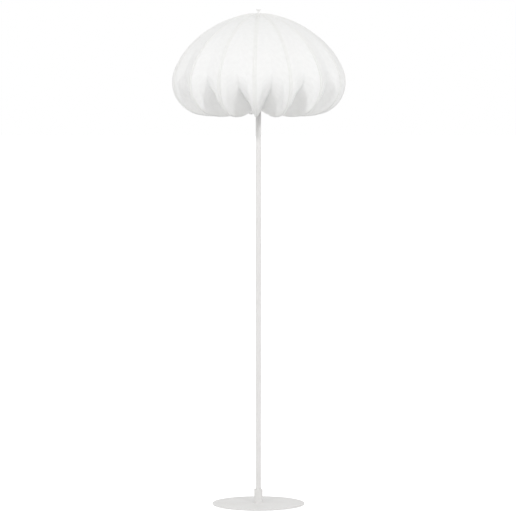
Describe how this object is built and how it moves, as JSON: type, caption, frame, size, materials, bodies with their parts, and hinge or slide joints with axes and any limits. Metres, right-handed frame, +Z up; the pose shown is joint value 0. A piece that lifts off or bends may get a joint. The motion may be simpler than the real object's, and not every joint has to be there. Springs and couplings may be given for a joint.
{
  "type": "mushroom floor lamp",
  "caption": "Floor lamp with a round cloth shade bowed over wire ribs, held on a harp by a flared finial, on a slim straight pole and a flat round base",
  "frame": {"origin": "on the floor at the centre of the base, on the axis of the pole", "axes": "+Z up along the pole, the front of the shade faces -Y, +X to the right seen from the front"},
  "size_m": [0.5234, 0.5229, 1.5011],
  "materials": {
    "enamel": "white powder coat, satin, with a fine even texture",
    "felt": "pressed grey felt",
    "zinc": "zinc-plated steel",
    "nickel": "bright nickel plate",
    "brass": "plain turned brass",
    "nylon": "moulded white nylon",
    "holder_plastic": "moulded white thermoset",
    "porcelain": "fired white steatite",
    "bulb_metal": "rolled aluminium screw cap",
    "bulb_black": "glossy black insulator",
    "opal_glass": "opal white glass, satin",
    "rib_wire": "white-coated spring wire bound with tape",
    "cloth": "fine plain-woven white cloth, sewn in gores"
  },
  "bodies": {
    "stand": {"base_plate": "enamel", "base_collar": "enamel", "pole_lower": "enamel", "pole_middle": "enamel", "pole_upper": "enamel", "pole_cap": "enamel", "base_pad": "felt", "base_screws": "zinc", "collar_set_screw": "zinc", "pole_joiners": "zinc", "holder_nipple": "zinc", "saddle_nut": "zinc", "harp_stud": "zinc", "harp_wire": "nickel", "harp_saddle": "nickel", "harp_boss": "nickel", "screw_shell": "brass", "centre_contact": "brass", "bulb_tip": "brass", "cord_gland": "nylon", "lampholder_cap": "holder_plastic", "lampholder_body": "holder_plastic", "lampholder_block": "porcelain", "bulb_cap": "bulb_metal", "bulb_insulator": "bulb_black", "bulb_globe": "opal_glass"},
    "shade": {"shade_top_hub": "enamel", "shade_bottom_ring": "enamel", "shade_rib_01": "rib_wire", "shade_rib_02": "rib_wire", "shade_rib_03": "rib_wire", "shade_rib_04": "rib_wire", "shade_rib_05": "rib_wire", "shade_rib_06": "rib_wire", "shade_rib_07": "rib_wire", "shade_rib_08": "rib_wire", "shade_rib_09": "rib_wire", "shade_rib_10": "rib_wire", "shade_rib_11": "rib_wire", "shade_rib_12": "rib_wire", "shade_rib_13": "rib_wire", "shade_rib_14": "rib_wire", "shade_rib_15": "rib_wire", "shade_cover": "cloth"},
    "ferrule_left": {"harp_ferrule_left": "brass"},
    "ferrule_right": {"harp_ferrule_right": "brass"},
    "finial_washer": {"finial_washer": "enamel"},
    "finial": {"finial": "enamel"}
  },
  "joints": [
    {"name": "shade_turn", "type": "hinge", "parent": "stand", "child": "shade", "pos_m": [0, 0, 1.4827], "axis": [0, 0, 1], "continuous": true},
    {"name": "ferrule_left_slide", "type": "slide", "parent": "stand", "child": "ferrule_left", "axis": [0, 0, 1], "range_m": [0, 0.012]},
    {"name": "ferrule_right_slide", "type": "slide", "parent": "stand", "child": "ferrule_right", "axis": [0, 0, 1], "range_m": [0, 0.012]},
    {"name": "finial_lift", "type": "slide", "parent": "stand", "child": "finial_washer", "axis": [0, 0, 1], "range_m": [0, 0.0056]},
    {"name": "finial_turn", "type": "hinge", "parent": "finial_washer", "child": "finial", "pos_m": [0, 0, 1.4877], "axis": [0, 0, 1], "range_deg": [0, 2880]}
  ],
  "couplings": [
    {"joint": "finial_turn", "follows": "finial_lift", "rad_per_m": 8976}
  ]
}
